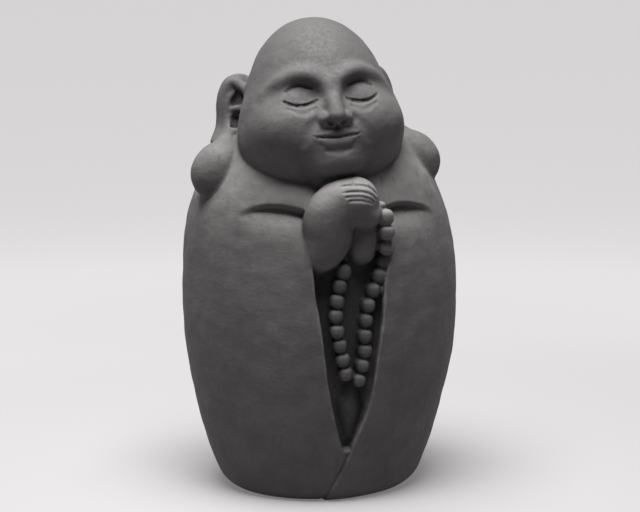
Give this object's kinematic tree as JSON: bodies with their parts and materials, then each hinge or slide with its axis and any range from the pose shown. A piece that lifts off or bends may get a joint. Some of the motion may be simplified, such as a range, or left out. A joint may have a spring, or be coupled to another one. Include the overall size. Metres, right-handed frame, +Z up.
{
  "type": "laughing buddha statue",
  "caption": "Garden statue of a stout bald monk in a closed robe, long ear lobes, hands clasped under the chin around a string of prayer beads, on a flat underside.",
  "frame": {"origin": "middle of the flat underside, on the floor", "axes": "+Z up, -Y towards the viewer (the statue faces -Y), +X to the statue's left"},
  "size_m": [0.3559, 0.3325, 0.5997],
  "materials": {
    "clay": "matt dark grey cast fibre clay, smoothed by hand"
  },
  "bodies": {
    "root": {"statue": "clay"}
  },
  "joints": []
}
